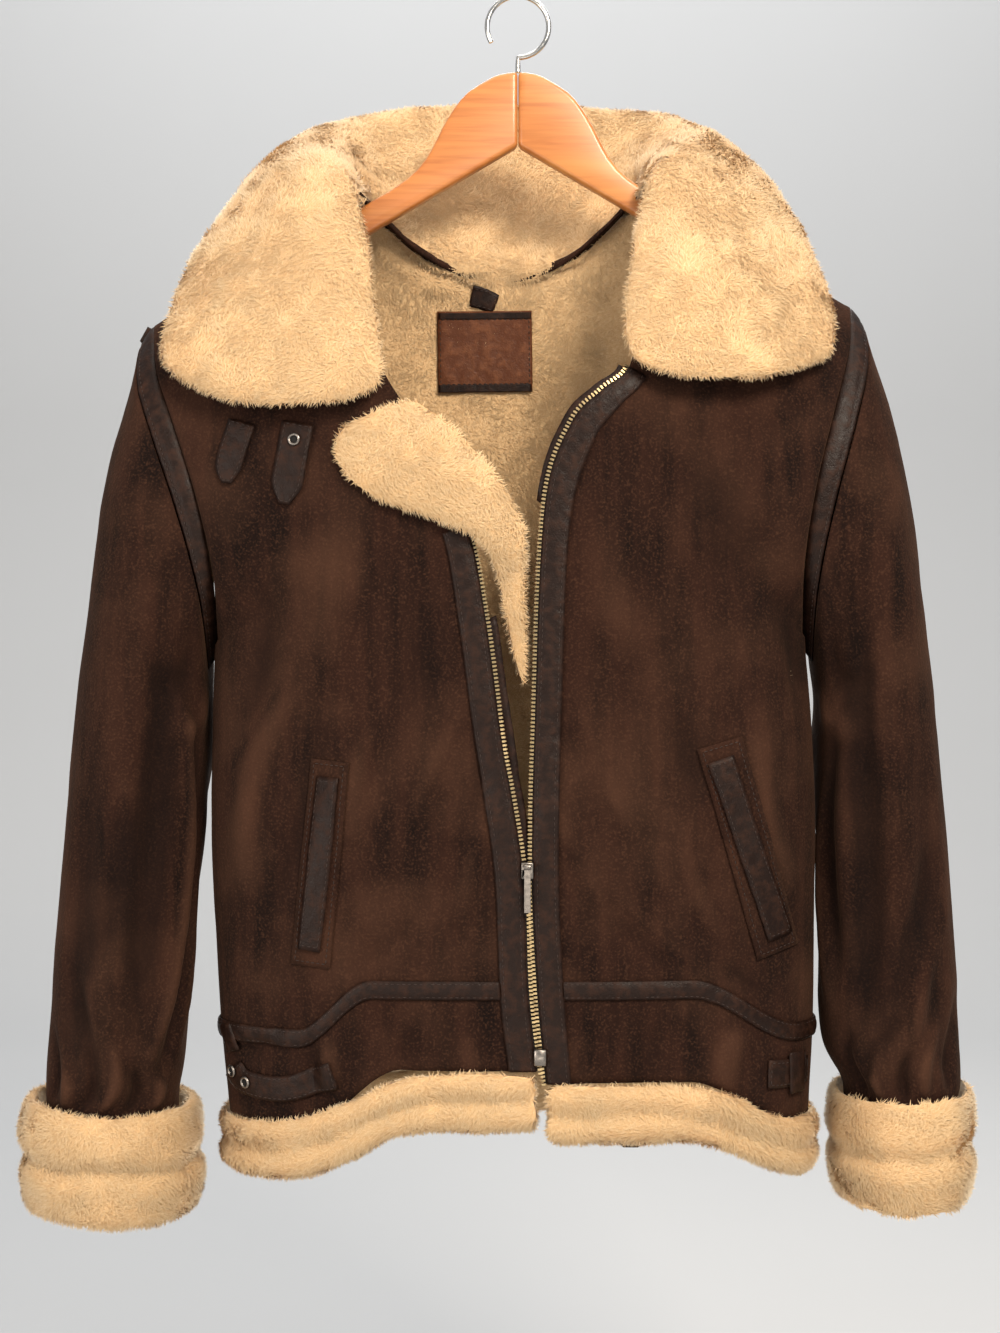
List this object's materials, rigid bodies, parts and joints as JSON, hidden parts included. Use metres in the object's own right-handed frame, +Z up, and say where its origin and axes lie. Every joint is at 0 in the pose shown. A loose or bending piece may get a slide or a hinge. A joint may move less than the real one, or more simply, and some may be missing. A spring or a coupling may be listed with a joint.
{
  "type": "aviator bomber jacket on a wooden hanger",
  "caption": "Suede aviator jacket with a wide pile collar, cuffs and hem, hanging half open on a plain wooden hanger.",
  "frame": {"origin": "inside top of the hanger hook's bend, where a rail carries it", "axes": "+Z up, the jacket's front faces -Y, +X is the wearer's left"},
  "size_m": [0.7356, 0.2472, 0.9474],
  "materials": {
    "suede": "napped dark brown suede",
    "leather": "smooth semi-gloss dark brown",
    "pile": "dense cream pile",
    "tan_leather": "smooth tan",
    "zip_metal": "antique",
    "dark_metal": "dark nickel",
    "wood": "clear varnish",
    "steel": "bright wire"
  },
  "bodies": {
    "jacket": {"armhole_band_left": "leather", "armhole_band_right": "leather", "back": "suede", "back_tab": "leather", "collar": "pile", "collar_under": "suede", "cuff_left": "pile", "cuff_right": "pile", "front_left": "suede", "front_right": "suede", "hang_loop": "leather", "hanger_hook": "steel", "hanger_left": "wood", "hanger_right": "wood", "hem_band_back": "suede", "hem_band_left": "suede", "hem_band_right": "suede", "hem_fur_back": "pile", "hem_fur_left": "pile", "hem_fur_right": "pile", "keeper_left": "leather", "keeper_right": "leather", "label": "tan_leather", "lapel_right": "pile", "lining_back": "pile", "lining_left": "pile", "lining_right": "pile", "pocket_frame_left": "suede", "pocket_frame_right": "suede", "pocket_welt_left": "leather", "pocket_welt_right": "leather", "shoulder_nub": "leather", "side_tab_left": "leather", "side_tab_right": "leather", "sleeve_left_back": "suede", "sleeve_left_front": "suede", "sleeve_right_back": "suede", "sleeve_right_front": "suede", "tab_eyelet_inner": "dark_metal", "tab_eyelet_outer": "dark_metal", "throat_eyelet": "dark_metal", "throat_strap_inner": "leather", "throat_strap_outer": "leather", "waist_strip_back": "leather", "waist_strip_left": "leather", "waist_strip_right": "leather", "zip_band_left": "leather", "zip_band_right": "leather", "zip_box": "dark_metal", "zip_facing": "leather", "zip_guard": "leather", "zip_left": "zip_metal", "zip_right": "zip_metal", "zip_slider": "dark_metal"},
    "pull": {"zip_pull": "dark_metal"}
  },
  "joints": [
    {"name": "pull_swing", "type": "hinge", "parent": "jacket", "child": "pull", "pos_m": [0.0058, -0.1039, -0.666], "axis": [-1, 0, 0], "range_deg": [0, 170]}
  ]
}
